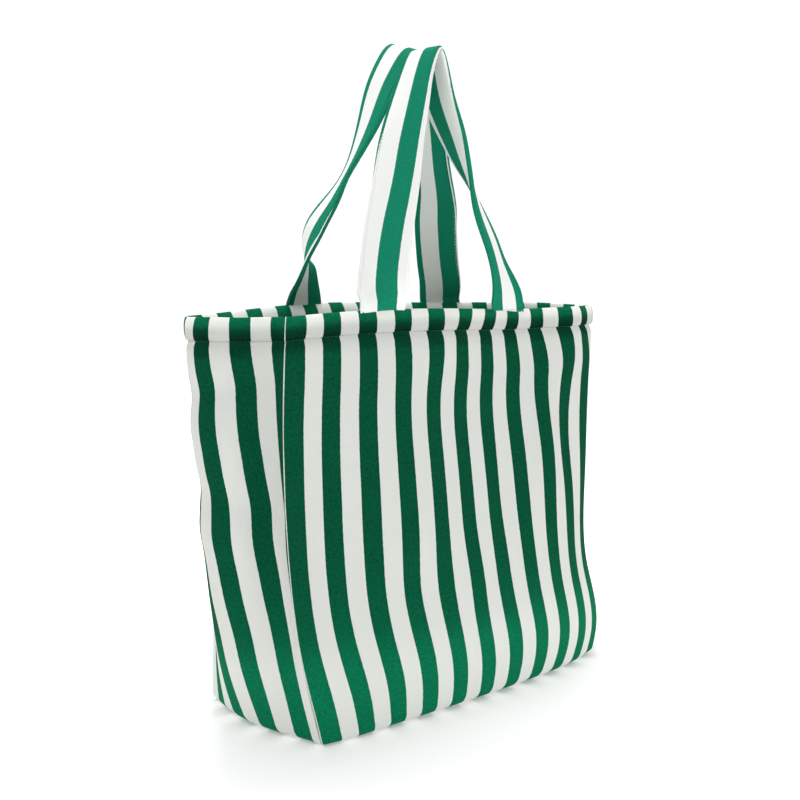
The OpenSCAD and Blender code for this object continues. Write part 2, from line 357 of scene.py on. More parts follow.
def cloth_material(name, green=GREEN, white=OFF_WHITE, painted_shading=((0.0, 1.0), (1.0, 1.0)),
                   white_share=0.12, grain=0.38):
    """Thick brushed cotton: printed stripes, fibre mottling, a plain weave and fuzz.

    The greens are multiplied by a factor that runs through (height up the cloth, factor) pairs,
    which paints light and shade onto the cloth by height. The whites take only
    white_share of each change, and grain is how far a green strays from its own colour.
    """
    n = Nodes(name)
    uv = n.add("ShaderNodeUVMap", uv_map="cloth").outputs["UV"]
    split = n.add("ShaderNodeSeparateXYZ")
    n.put(split.inputs[0], uv)
    u, v = split.outputs[0], split.outputs[1]
    cloud = n.noise(uv, PATCHES, 3)
    mottle = n.noise(uv, MOTTLES, 5, 0.7)
    fibre = n.noise(uv, FIBRES, 3, 0.65)
    edge = n.math("SUBTRACT", n.noise(uv, EDGE_FINE, 3, 0.6), 0.5)
    edge = n.math("MULTIPLY", edge, 3 * PRINT_WOBBLE)
    drift = n.math("SUBTRACT", n.noise(uv, EDGE_LONG, 1), 0.5)
    drift = n.math("MULTIPLY", drift, 4 * PRINT_WOBBLE)
    place = n.math("ADD", n.math("ADD", u, edge), drift)
    turn = n.math("FRACT", n.math("DIVIDE", place, 2 * STRIPE))
    # distance into the green stripe, in metres, positive inside it
    left = n.math("MULTIPLY", turn, 2 * STRIPE)
    right = n.math("MULTIPLY", n.math("SUBTRACT", 0.5, turn), 2 * STRIPE)
    print_mask = n.shade(n.math("MINIMUM", left, right), -PRINT_SOFT, PRINT_SOFT, 0.0, 1.0)
    dark = tuple((1 - grain) * c for c in green) + (1,)
    light = tuple((1 + grain) * c for c in green) + (1,)
    green_tone = n.mix(n.shade(mottle, 0.3, 0.7, 0.0, 1.0), dark, light)
    grey = tuple(FIBRE_SHADE * c for c in white) + (1,)
    white_tone = n.mix(n.shade(fibre, 0.3, 0.7, 0.0, 1.0), grey, tuple(white) + (1,))
    yellowed = tuple(c * k for c, k in zip(white, YELLOWED)) + (1,)
    white_tone = n.mix(n.shade(cloud, 0.45, 0.75, 0.0, 0.35), white_tone, yellowed)
    green_tone = n.mix(n.shade(cloud, 0.45, 0.75, 0.0, 0.30), green_tone, light)
    # painted light and shade by height up the cloth: the greens take each factor in full, the whites
    # a share of it
    painted_white_shading = [(at, 1 + white_share * (k - 1)) for at, k in painted_shading]
    colour = n.mix(print_mask, n.tint(white_tone, v, painted_white_shading), n.tint(green_tone, v, painted_shading))
    n.put(n.shader.inputs["Base Color"], colour)
    n.shader.inputs["Roughness"].default_value = 0.92
    n.shader.inputs["Specular IOR Level"].default_value = 0.04
    n.shader.inputs["Sheen Weight"].default_value = 0.06
    n.shader.inputs["Sheen Roughness"].default_value = 0.5
    n.put(n.shader.inputs["Sheen Tint"], colour)
    # plain weave under the nap
    step = 2 * math.pi / THREAD_PITCH
    warp = n.math("SINE", n.math("MULTIPLY", u, step))
    weft = n.math("SINE", n.math("MULTIPLY", v, step))
    weave = n.math("MULTIPLY", warp, weft)
    height = n.math("ADD", n.math("MULTIPLY", weave, 0.22), n.math("MULTIPLY", fibre, 0.9))
    height = n.math("ADD", height, n.math("MULTIPLY", mottle, 0.6))
    bump = n.add("ShaderNodeBump")
    bump.inputs["Strength"].default_value = 0.55
    bump.inputs["Distance"].default_value = BUMP_HEIGHT
    n.put(bump.inputs["Height"], height)
    n.put(n.shader.inputs["Normal"], bump.outputs[0])
    return n.material


def thread_material():
    """Dark green spun thread, for the stitches under the hem."""
    n = Nodes("spun_thread")
    uv = n.add("ShaderNodeUVMap", uv_map="cloth").outputs["UV"]
    tone = n.noise(uv, 900, 3)
    colour = n.mix(n.shade(tone, 0.3, 0.7, 0.0, 1.0), THREAD_DARK, THREAD_LIGHT)
    n.put(n.shader.inputs["Base Color"], colour)
    n.shader.inputs["Roughness"].default_value = 0.8
    n.shader.inputs["Sheen Weight"].default_value = 0.1
    return n.material


# ---- the walls ----

# Heights of the sections that the walls are lofted through, in centimetres
SECTION_Z = (0, 3, 12, 24, 36, 42, 45)
# The four corners of the bag at those heights, (x, y) in centimetres
FRONT_LEFT = ((-20.5, -8.7), (-21.1, -8.5), (-23.0, -8.8), (-24.1, -9.1), (-23.7, -8.6),
              (-23.0, -8.1), (-22.5, -7.7))
FRONT_RIGHT = ((20.6, -9.9), (21.9, -9.6), (20.8, -8.9), (20.2, -9.1), (21.9, -8.2),
               (23.9, -6.8), (24.3, -6.4))
BACK_RIGHT = ((21.0, 9.8), (20.7, 9.2), (19.6, 7.4), (18.8, 6.2), (18.2, 5.6),
              (18.0, 5.5), (18.0, 5.5))
BACK_LEFT = ((-24.1, 9.7), (-24.3, 9.1), (-24.8, 6.8), (-25.4, 5.0), (-25.9, 5.8),
             (-26.1, 7.0), (-26.0, 7.8))
# Shares of a wall's width at which each section says how far the wall stands out, in cm
SHARES = (0, 0.1, 0.3, 0.5, 0.7, 0.9, 1)
FINE = np.linspace(0, 1, 401)
# Where the front's print starts, and how far from its first seam the seam draws cloth in
FRONT_PRINT_START = -0.214 * STRIPE
SEAM_PULL = 1.2 * CM
# Height above which a wall's flare spreads its print, towards the mouth
FLARE_Z = 38 * CM


class Wall:
    """One side of the bag: cloth of one width, lofted between two corners of the bag.

    bulge is how far it stands out from the line between its corners, a row for each of
    SECTION_Z with a value for each of SHARES. lift is how far its rim stands above or
    below the nominal one. Both are in centimetres. print_place gives the place in the
    cloth's print of the wall's first edge, in metres, for heights measured up the cloth,
    and print_step is the way that the print then runs. folds are functions of share and
    height that give extra bulge in metres. seam_take is how much print the first seam
    hides, in metres, and flare the share by which the print spreads at the rim.
    """

    def __init__(self, width, first, last, bulge, lift, print_place, print_step=1, folds=(),
                 seam_take=0.0, flare=0.0):
        self.width = width
        self.first, self.last = spline(SECTION_Z, first), spline(SECTION_Z, last)
        self.bulge = spline(SECTION_Z, bulge)
        self.lift = spline(SHARES, lift)
        self.print_place, self.print_step = print_place, print_step
        self.folds, self.seam_take, self.flare = folds, seam_take, flare

    def chord(self, z):
        """Level direction from the wall's first corner to its last."""
        return unit(self.last(z / CM) - self.first(z / CM))

    def section(self, z, t):
        """Level points of the wall at height z and shares t of its width, and its headings."""
        first, last = self.first(z / CM) * CM, self.last(z / CM) * CM
        out = spline(SHARES, self.bulge(z / CM))(FINE) * CM
        for fold in self.folds:
            out = out + fold(FINE, z)
        slope = np.gradient(out, FINE * self.width)
        step = np.sqrt(np.maximum(1 - slope ** 2, 0.05))
        run = np.concatenate([[0], np.cumsum((step[1:] + step[:-1]) / 2)])
        along = unit(last - first)
        outward = np.array([along[1], -along[0]])
        points = (first + (last - first) * (run / run[-1])[:, None] + out[:, None] * outward)
        heading = unit(np.gradient(points, axis=0))
        pick = np.stack([np.interp(t, FINE, points[:, i]) for i in (0, 1)], -1)
        return pick, unit(np.stack([np.interp(t, FINE, heading[:, i]) for i in (0, 1)], -1))

    def print_at(self, t, v):
        """Place across the print at shares t of the width and heights v up the cloth."""
        s = self.width * t * (1 + self.flare * smooth((v - FLARE_Z) / (RIM_Z - FLARE_Z)))
        taken = self.seam_take * np.exp(-(s / SEAM_PULL) ** 2)
        return self.print_place(v) + self.print_step * s + taken


# Radius of the rolled foot at the seams and in the middle of a wall
BASE_TIGHT, BASE_FULL = 0.7 * CM, 1.7 * CM
# How far from a corner its diagonal is felt
CORNER_REACH = 3.0 * CM
# How deep the seams and the crease under the hem are drawn in, and how far that reaches
SEAM_SINK, SEAM_REACH = 1.0 * MM, 2.6 * MM
CREASE_SINK, CREASE_REACH = 2.2 * MM, 5.5 * MM
HEM_Z = RIM_Z - HEM_H
WALL_LOW, WALL_TOP = 2 * CM, HEM_Z + 0.6 * HEM_H


def corner_diagonal(before, after, z):
    """Level direction into the bag at the corner between two walls, the same for both."""
    return unit(after.chord(z) - before.chord(z)) * math.sqrt(2)


def inward_at(wall, z, heading, t):
    """Level direction into the bag: square to a wall, and on the diagonal at its corners."""
    inward = np.stack([-heading[:, 1], heading[:, 0]], -1)
    ring = list(walls.values())
    at = ring.index(wall)
    for distance, before, after in ((t, ring[at - 1], wall), (1 - t, wall, ring[(at + 1) % 4])):
        share = smooth(1 - distance * wall.width / CORNER_REACH)[:, None]
        inward = (1 - share) * inward + share * corner_diagonal(before, after, z)
    return inward


# The walls' grid: columns near a seam (in mm from it), where the even ones start, and steps
SEAM_COLUMNS = (0, 1.2, 2.6, 4.5, 7.0)
SEAM_ZONE = 10 * MM
COLUMN_STEP, CREASE_ROW_STEP = 4.4 * MM, 1.5 * MM
TURN_ROWS, LOW_ROWS = 16, 84


def wall_columns(width):
    """Shares of the width for the grid's columns, closer together at the two seams."""
    edge = np.array(SEAM_COLUMNS) * MM / width
    middle = np.linspace(SEAM_ZONE / width, 1 - SEAM_ZONE / width, int(width / COLUMN_STEP))
    return np.concatenate([edge, middle, 1 - edge[::-1]])


def turn_under(t):
    """Radius of the soft fold at the foot of a wall: tight at the seams, full between them."""
    return BASE_TIGHT + (BASE_FULL - BASE_TIGHT) * np.sin(math.pi * t) ** 0.7


def wall_rows():
    """Rows of the grid from under the base up: (part of the turn-under, share of the rest)."""
    turn = [(a, 0.0) for a in np.radians(np.linspace(0, 90, TURN_ROWS))]
    crease = (HEM_Z - WALL_LOW) / (WALL_TOP - WALL_LOW)
    step = CREASE_ROW_STEP / (WALL_TOP - WALL_LOW)
    rest = np.concatenate([np.linspace(0, crease - 0.05, LOW_ROWS)[1:],
                           np.arange(crease - 0.045, 1.0, step)])
    return turn + [(math.pi / 2, k) for k in rest]


def wall_surface(wall, t, rows):
    """The wall's outer face as a grid of points, with its seams sunk in, and the length of
    cloth up to each row."""
    levels = np.linspace(0, WALL_TOP, 150)
    place, heading = (np.array(x) for x in zip(*(wall.section(z, t) for z in levels)))
    radius = turn_under(t)
    edge = np.minimum(t, 1 - t) * wall.width
    out, up_cloth = [], []
    for turn, rest in rows:
        low = radius * (1 - math.cos(turn))
        z = low + (WALL_TOP - radius) * rest
        draw = radius * (1 - math.sin(turn))
        pick = [[np.interp(z[c], levels, a[:, c, i]) for c in range(len(t))]
                for a in (place, heading) for i in (0, 1)]
        p, h = np.array(pick[:2]).T, unit(np.array(pick[2:]).T)
        sink = SEAM_SINK * np.exp(-(edge / SEAM_REACH) ** 2)
        sink = sink + CREASE_SINK * np.exp(-((z - HEM_Z) / CREASE_REACH) ** 2)
        p = p + inward_at(wall, float(z[0]), h, t) * (draw + sink)[:, None]
        lift = wall.lift(t) * CM * smooth(z / RIM_Z)
        out.append(np.concatenate([p, (z + lift)[:, None]], -1))
        up_cloth.append(radius * turn + (WALL_TOP - radius) * rest)
    return np.array(out), np.array(up_cloth)


def make_wall(name, node, wall):
    """One wall's sheet of cloth, its foot turned under and its top end inside the hem."""
    t, rows = wall_columns(wall.width), wall_rows()
    outer, v = wall_surface(wall, t, rows)
    along = np.gradient(outer, axis=1)
    normal = unit(np.cross(along, np.gradient(outer, axis=0)))
    inner = outer - CLOTH * normal
    inner[:, 0] += CLOTH * unit(along[:, 0])
    inner[:, -1] -= CLOTH * unit(along[:, -1])
    uv = np.stack([wall.print_at(t[None, :], v), v], -1)
    obj = closed_sheet(name, outer, inner, uv, [body_cloth])
    obj.data.name = name
    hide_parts(node)
    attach(obj, "bag")
    return obj


def dent(centre, width, z, height, amount, lean=0.0):
    """A soft dent or swelling that lies across a wall, its middle at height z."""
    def at(t, h):
        middle = z + lean * (t - centre)
        return (amount * np.exp(-((t - centre) / width) ** 2)
                * np.exp(-((h - middle) / height) ** 2))
    return at


walls = {
    "front": Wall(
        FRONT_W, FRONT_LEFT, FRONT_RIGHT,
        bulge=((0, 0.7, 1.6, 2.1, 2.1, 1.2, 0), (0, 0.3, 2.1, 2.7, 2.9, 1.6, 0),
               (0, -0.4, 2.8, 3.2, 3.6, 2.0, 0), (0, -0.4, 2.2, 2.0, 2.2, 1.7, 0),
               (0, -0.2, 1.0, 0.6, 0.3, 1.0, 0), (0, -0.2, 0.8, 0.9, 0.3, 1.3, 0),
               (0, -0.4, 0.6, 1.1, 0.3, 1.1, 0)),
        lift=(0.0, 0.2, 0.4, 0.2, -0.1, 0.0, 0.0),
        print_place=lambda v: FRONT_PRINT_START, seam_take=0.33 * CM, flare=0.045,
        folds=(dent(0.33, 0.09, 15 * CM, 4 * CM, -0.9 * CM),
               dent(0.50, 0.05, 15 * CM, 4 * CM, 0.45 * CM),
               dent(0.15, 0.12, 5 * CM, 4 * CM, 0.8 * CM, lean=0.1),
               dent(0.78, 0.045, 29 * CM, 7 * CM, 0.8 * CM),
               dent(0.88, 0.035, 29 * CM, 6 * CM, -0.5 * CM),
               dent(0.62, 0.03, 24 * CM, 6 * CM, -0.3 * CM),
               dent(0.41, 0.05, 41 * CM, 3 * CM, 0.5 * CM),
               dent(0.765, 0.035, 43 * CM, 8 * CM, -0.35 * CM),
               dent(0.875, 0.035, 43 * CM, 8 * CM, 0.45 * CM))),
    "right": Wall(
        SIDE_W, FRONT_RIGHT, BACK_RIGHT,
        bulge=((0, 0.6, 1.7, 2.1, 1.7, 0.6, 0), (0, 0.7, 2.2, 2.8, 2.2, 0.7, 0),
               (0, 0.9, 2.9, 3.7, 2.9, 0.9, 0), (0, 1.0, 3.2, 4.1, 3.2, 1.0, 0),
               (0, 1.2, 3.5, 4.4, 3.5, 1.1, 0), (0, 1.5, 3.9, 4.6, 3.7, 1.2, 0),
               (0, 1.5, 3.9, 4.6, 3.7, 1.2, 0)),
        lift=(0, 0, 0.1, 0.3, 0.5, 0.6, 0.6),
        print_place=lambda v: -0.33 * STRIPE),
    "back": Wall(
        FRONT_W, BACK_RIGHT, BACK_LEFT,
        bulge=((0, 0.5, 1.2, 1.5, 1.2, 0.5, 0), (0, 0.8, 2.0, 2.4, 2.0, 0.8, 0),
               (0, 1.0, 2.9, 3.5, 2.8, 0.9, 0), (0, 0.8, 2.2, 2.6, 2.0, 0.7, 0),
               (0, 0.9, 2.2, 2.4, 1.7, 0.7, 0), (0, 1.3, 3.7, 3.8, 2.5, 1.0, 0),
               (0, 1.6, 4.7, 4.8, 3.2, 1.25, 0)),
        lift=(0.6, 0.7, 0.9, 1.1, 0.9, 0.3, 0.1),
        print_place=lambda v: FRONT_W + 4.4 * CM, print_step=-1),
    "left": Wall(
        SIDE_W, BACK_LEFT, FRONT_LEFT,
        bulge=((0, 0.55, 1.5, 1.85, 1.4, 0.4, 0), (0, 0.6, 1.95, 2.4, 1.5, 0.2, 0),
               (0, 0.7, 2.9, 3.6, 1.8, -0.3, 0), (0, 0.8, 3.5, 4.3, 2.0, -0.55, 0),
               (0, 0.95, 3.6, 4.2, 2.0, -0.45, 0), (0, 1.0, 3.4, 3.9, 1.9, -0.25, 0),
               (0, 1.05, 3.2, 3.6, 1.9, -0.1, 0)),
        lift=(0.1, 0.1, 0.1, 0.1, 0, 0, 0),
        print_place=lambda v: SIDE_W + (1.714 * (1 - v / RIM_Z) - 0.095) * STRIPE,
        print_step=-1,
        folds=(dent(0.50, 0.35, 37.7 * CM, 1.7 * CM, -0.36 * CM, lean=0.03),
               dent(0.42, 0.35, 33.5 * CM, 2.2 * CM, 0.20 * CM, lean=-0.02),
               dent(0.50, 0.40, 27.0 * CM, 1.8 * CM, -0.36 * CM, lean=-0.04),
               dent(0.45, 0.40, 22.8 * CM, 2.0 * CM, 0.26 * CM, lean=-0.04),
               dent(0.60, 0.25, 12.0 * CM, 3.0 * CM, -0.25 * CM))),
}


# ---- the base ----

def make_base():
    """The bag's bottom: one sheet filling the outline of the four walls' lower edges."""
    count = 41

    def edge(side, reverse=False):
        t = np.linspace(0, 1, count)
        p = wall_surface(walls[side], t, [(0.0, 0.0)])[0][0][:, :2]
        return p[::-1] if reverse else p

    front, back = edge("front"), edge("back", True)
    left, right = edge("left", True), edge("right")
    s = np.linspace(0, 1, count)
    i, j = s[None, :, None], s[:, None, None]
    flat = ((1 - j) * front[None] + j * back[None] + (1 - i) * left[:, None] + i * right[:, None]
            - (1 - i) * (1 - j) * front[0] - i * (1 - j) * front[-1]
            - (1 - i) * j * back[0] - i * j * back[-1])
    low = np.concatenate([flat, np.zeros((count, count, 1))], -1)
    high = low + (0, 0, CLOTH)
    uv = np.stack([flat[..., 0] - FRONT_LEFT[0][0] * CM + FRONT_PRINT_START, flat[..., 1]], -1)
    # seen from below, so the grid runs the other way
    obj = closed_sheet("base_canvas_sheet", low[::-1], high[::-1], uv[::-1], [body_cloth])
    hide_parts("base_panel")
    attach(obj, "bag")
    return obj


# ---- the hem round the mouth ----

# How far the roll stands out from the cloth, outside and inside the bag
HEM_OUT, HEM_IN = 1.9 * MM, 2.6 * MM
HEM_TURN = 28
HEM_STEP = 2.2 * MM


def hem_frames(wall, t):
    """Middles of the cloth at the rim and at the hem's foot, the way out, and the lift."""
    p, heading = wall.section(RIM_Z, t)
    low, _ = wall.section(HEM_Z, t)
    inward = inward_at(wall, RIM_Z, heading, t)
    return p + inward * CLOTH / 2, low + inward * CLOTH / 2, -unit(inward), wall.lift(t) * CM


def front_shear(t):
    """How far the front's stripes slant as they go round the roll."""
    return -0.22 * np.exp(-((t - 0.55) / 0.16) ** 2)


def no_shear(t):
    return 0 * t


def make_hem(name, side, shear):
    """The padded roll on top of one wall, which meets its neighbours on the diagonals."""
    wall = walls[side]
    count = int(wall.width / HEM_STEP)
    t = np.linspace(0, 1, count)
    top, low, outward, lift = hem_frames(wall, t)
    turn = np.linspace(0, 2 * math.pi, HEM_TURN, endpoint=False) - math.pi / 2
    along = t * wall.width
    edge = np.minimum(along, wall.width - along)
    # slack in the roll: long soft waves, and small puckers at the stitches
    fat = 1 + 0.10 * np.sin(along / (31 * MM) * 2 + 0.7) + 0.07 * np.sin(along / (11 * MM) + 2.1)
    fat *= 1 - 0.08 * np.exp(-(edge / (5 * MM)) ** 2)
    sway = 0.7 * MM * np.sin(along / (19 * MM) + 0.4)
    pucker = 0.25 * MM * np.sin(along * 2 * math.pi / (7.3 * MM))
    half_h = HEM_H / 2
    rings, uvs = [], []
    for a in turn:
        c, s = math.cos(a), math.sin(a)
        n = c * ((HEM_OUT if c > 0 else HEM_IN) + CLOTH / 2)
        z = s * half_h
        share = (z + half_h) / HEM_H
        centre = low * (1 - share) + top * share
        swell = fat * (1 if abs(s) < 0.5 else 1 - 0.4 * (abs(s) - 0.5))
        side_shift = n * swell + pucker * max(0, -s) * math.copysign(1, c) + sway * share
        p = centre + outward * side_shift[:, None]
        height = HEM_Z + half_h + z + lift
        rings.append(np.concatenate([p, height[:, None]], -1))
    rings = np.array(rings)
    middle = rings[:, count // 2]
    length = np.linalg.norm(np.diff(middle, axis=0, append=middle[:1]), axis=-1)
    girth = np.concatenate([[0], np.cumsum(length[:-1])])
    v = HEM_Z + girth
    for k in range(HEM_TURN):
        u = wall.print_at(t, np.full(count, HEM_Z)) + shear(t) * girth[k] * wall.print_step
        uvs.append(np.stack([u, np.full(count, v[k])], -1))
    obj = hem_tube(name, rings, np.array(uvs), float(np.sum(length)))
    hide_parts(side + "_hem")
    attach(obj, "bag")
    return obj


def hem_tube(name, rings, uvs, girth):
    """rings is (turn, along, 3); the seam of the turn is at the bottom, inside the wall."""
    turn, count = rings.shape[:2]
    rings = np.concatenate([rings, rings[:1]])
    last = uvs[:1].copy()
    last[..., 1] += girth
    uvs = np.concatenate([uvs, last])
    grid = grid_faces(turn + 1, count)
    first = [k * count for k in range(turn)]
    end = [k * count + count - 1 for k in range(turn - 1, -1, -1)]
    return mesh_object(name, rings.reshape(-1, 3), grid + [first, end], uvs.reshape(-1, 2),
                       [hem_cloth])


# ---- the handles ----

# Below this height a band is its sewn end, inside the hem
LEG_CUT = RIM_Z - 3 * MM
# The row of stitches, from the band's sewn edge, and one stitch
BAND_STITCH = 3.2 * MM
STITCH_PITCH, STITCH_LONG, THREAD = 4.2 * MM, 2.9 * MM, 0.34 * MM
STITCH_SIDES = 6
# How far a stitch stands out of a band and out of the hem's crease
BAND_STITCH_RISE, HEM_STITCH_RISE = 0.1 * MM, 0.35 * MM
# How far inside their stripe the stitches and the notch of a band take their print
STITCH_PRINT, NOTCH_PRINT = 1.4 * MM, 2.5 * MM
BAND_STEP = 2.6 * MM

# Routes of the two handles: x, y, z in centimetres along the band's middle, then the
# heading of the line from its sewn edge to its folded edge and how far that line tilts up,
# both in degrees.
FRONT_ROUTE = ((-10.6, -7.35, 44.2, -5, 0), (-10.5, -7.3, 45.6, -15, 0),
               (-10.2, -7.2, 47.5, -34, 0), (-9.7, -7.0, 50.0, -48, 0),
               (-8.6, -6.6, 54.4, -52, 0), (-7.0, -5.9, 59.0, -57, 0),
               (-5.6, -5.1, 63.3, -62, 0), (-3.9, -4.2, 67.5, -73, -2), (-2.3, -3.4, 71.2, -84, -4),
               (-0.1, -2.9, 74.5, -90, -5), (1.0, -3.0, 71.6, -91, -4), (1.5, -3.3, 69.0, -93, -2),
               (2.6, -4.4, 64.8, -103, 0), (3.1, -5.0, 62.6, -112, 0), (3.9, -5.8, 59.4, -130, 0),
               (4.5, -6.2, 57.0, -141, 0), (5.2, -6.6, 54.8, -147, 0), (6.1, -6.9, 52.5, -149, 0),
               (6.9, -7.1, 50.0, -152, 0), (7.7, -7.1, 47.8, -163, 0), (8.3, -7.3, 45.6, -175, 0),
               (8.4, -7.35, 44.2, -177, 0))
BACK_ROUTE = ((-9.0, 10.9, 44.6, 10, 0), (-9.0, 10.9, 45.9, 10, 0), (-9.5, 9.9, 48.0, 27, 0),
              (-10.1, 8.5, 49.8, 46, 0), (-10.0, 7.5, 53.0, 74, 0), (-9.2, 6.7, 55.6, 85, 0),
              (-7.9, 6.0, 57.8, 80, 1), (-6.5, 5.3, 60.2, 67, 3), (-5.3, 4.3, 63.0, 68, 5),
              (-4.4, 3.6, 65.5, 76, 8), (-3.6, 3.1, 67.9, 84, 12), (-2.6, 2.8, 70.6, 91, 16),
              (-1.1, 2.6, 73.4, 96, 19), (1.5, 2.5, 76.0, 96, 21), (3.5, 2.8, 73.6, 94, 18),
              (4.9, 3.3, 69.8, 95, 13), (6.0, 4.0, 65.6, 97, 8), (6.9, 4.6, 62.0, 102, 4),
              (7.7, 5.1, 59.2, 111, 2), (8.4, 6.0, 56.0, 134, 0), (9.2, 6.8, 53.2, 141, 0),
              (9.9, 7.4, 50.6, 142, 0), (10.6, 7.9, 48.1, 143, 0), (11.0, 8.3, 45.9, 155, 0),
              (11.1, 8.3, 44.6, 155, 0))

# A route's rows below ROOT_Z, in centimetres, are moved to the hem. Above the rim the band
# takes its own way and thickness over ROOT_SOFT.
ROOT_Z = 46.0
ROOT_SOFT = 2.2 * CM


def root_in_hem(side, row):
    """A route's row at the hem, moved to the hem's middle and turned along it."""
    t = np.linspace(0.05, 0.95, 500)
    top = hem_frames(walls[side], t)[0]
    k = int(np.argmin(abs(top[:, 0] - row[0] * CM)))
    step = top[k + 1] - top[k - 1]
    heading = math.degrees(math.atan2(step[1], step[0]))
    heading += 180 * round((row[3] - heading) / 180)
    return row[0], top[k, 1] / CM, row[2], heading, 0


def route_frames(side, route, outer_sign):
    """Evenly spaced frames along a route: length so far, middle, way across, outward face."""
    route = [root_in_hem(side, row) if row[2] < ROOT_Z else row for row in route]
    pts = np.array(route, float)
    pts[:, :3] *= CM
    chord = run_length(pts[:, :3])
    fine = spline(chord, pts)(np.linspace(0, chord[-1], 3000))
    arc = run_length(fine[:, :3])
    s = np.linspace(0, arc[-1], int(arc[-1] / BAND_STEP))
    at = np.stack([np.interp(s, arc, fine[:, i]) for i in range(5)], -1)
    for _ in range(6):
        at[1:-1, :3] = (at[:-2, :3] + 2 * at[1:-1, :3] + at[2:, :3]) / 4
    middle = at[:, :3]
    tangent = unit(np.gradient(middle, axis=0))
    a, up = np.radians(at[:, 3]), np.radians(at[:, 4])
    across = np.stack([np.cos(a) * np.cos(up), np.sin(a) * np.cos(up), np.sin(up)], -1)
    across = unit(across - (across * tangent).sum(-1, keepdims=True) * tangent)
    face = unit(np.cross(across, tangent)) * outer_sign
    return s, middle, across, face


def band_profile():
    """The band's cross-section: (across, out, place on the folded cloth) round the loop."""
    w, half = BAND_W, BAND_T / 2
    out = []

    def thick(x):
        """Half the thickness at x from the sewn edge: lips, a stitched groove, a soft body."""
        lip = 0.75 + 0.25 * smooth(x / (1.2 * MM))
        stitch = 1 - 0.42 * math.exp(-((x - BAND_STITCH) / (1.1 * MM)) ** 2)
        body = 1 + 0.10 * smooth((x - BAND_STITCH) / (9 * MM))
        return half * lip * stitch * body

    face = np.concatenate([[0.0, 0.4, 0.9, 1.6, 2.3, 2.8, 3.2, 3.6, 4.1, 5.0, 6.5],
                           np.linspace(9, w / MM - 5, 13), [w / MM - half / MM]]) * MM
    for x in face:
        out.append((x, thick(x), x))
    r = thick(w - half)
    for a in np.radians(np.arange(72, -90, -18)):
        out.append((w - half + r * math.cos(a), r * math.sin(a), w - half + r * (math.pi / 2 - a)))
    back = w - half + r * math.pi
    for x in face[::-1]:
        out.append((x, -thick(x), back + (w - half) - x))
    # the notch between the two lips, printed like the cloth a little way in
    for y in (-0.15, 0.15):
        out.append((0.9 * MM, y * half, back + w - half - NOTCH_PRINT))
    return np.array(out)


def band_rings(side, route, outer_sign):
    """The band's section swept along its route: rings of points, the length of band up to
    each, and its outward face there."""
    s, middle, across, face = route_frames(side, route, outer_sign)
    profile = band_profile()
    x = profile[:, 0] - BAND_W / 2
    # the soft band cups a little, its edges wander, and the stitching puckers it
    cup = 0.9 * MM * np.sin(s / (89 * MM) + 0.6) + 0.5 * MM * np.sin(s / (35 * MM) + 2)
    wander = 0.5 * MM * np.sin(s / (47 * MM) + 1.0)
    pucker = 0.14 * MM * np.sin(s / STITCH_PITCH * 2 * math.pi)
    near = np.exp(-((profile[:, 0] - BAND_STITCH) / (3 * MM)) ** 2) * np.sign(profile[:, 1])
    n = profile[None, :, 1] + cup[:, None] * (x[None, :] / (BAND_W / 2)) ** 2
    n = n + pucker[:, None] * near[None, :]
    n = n * (0.6 + 0.4 * smooth((middle[:, 2:] - RIM_Z) / ROOT_SOFT))
    line = middle[:, None] + across[:, None] * (x[None, :, None] + wander[:, None, None])
    # at its roots the band lies along the curve of the hem
    top = hem_frames(walls[side], np.linspace(0, 1, 400))[0]
    top = top[np.argsort(top[:, 0])]
    hem_y = np.interp(line[..., 0], top[:, 0], top[:, 1])
    share = 1 - smooth((middle[:, 2:] - RIM_Z) / ROOT_SOFT)
    line[..., 1] += share * (hem_y - line[..., 1])
    return line + face[:, None] * n[..., None], s, face


def band_mesh(name, rings, s, flip, print_scale, drift):
    """A stretch of band as a closed tube, with its print scaled and moved across it."""
    place = band_profile()[:, 2]
    uv = np.stack([place[None, :] * print_scale - drift(s)[:, None],
                   np.broadcast_to(s[:, None], (len(s), len(place)))], -1)
    count, k = rings.shape[:2]
    rings = np.concatenate([rings, rings[:, :1]], 1)
    uv = np.concatenate([uv, uv[:, -1:]], 1)
    faces = grid_faces(count, k + 1, flip=flip)
    first = list(range(k + 1))
    last = [(count - 1) * (k + 1) + j for j in range(k, -1, -1)]
    faces += [first[::-1], last[::-1]] if flip else [first, last]
    return mesh_object(name, rings.reshape(-1, 3), faces, uv.reshape(-1, 2), [handle_cloth])


# The width of the print on each band against the body's, and how far it wanders across
# the band, in metres, along its length
FRONT_PRINT, BACK_PRINT = 0.90, 0.93
FRONT_DRIFT = spline((0, 0.09, 0.14, 0.19, 0.24, 0.30, 0.38, 0.46, 0.58, 0.68, 0.76, 0.9),
                     np.array((-2.45, -2.45, -2.2, -1.95, -1.75, -1.45, -1.15, -0.9, -0.9,
                               -1.05, -1.15, -1.15)) * CM)
BACK_DRIFT = spline((0, 0.05, 0.10, 0.15, 0.2, 0.4, 0.6, 0.7, 0.9),
                    np.array((1.15, 1.1, 0.5, -0.05, -0.08, -0.08, -0.3, -0.2, -0.1)) * CM)


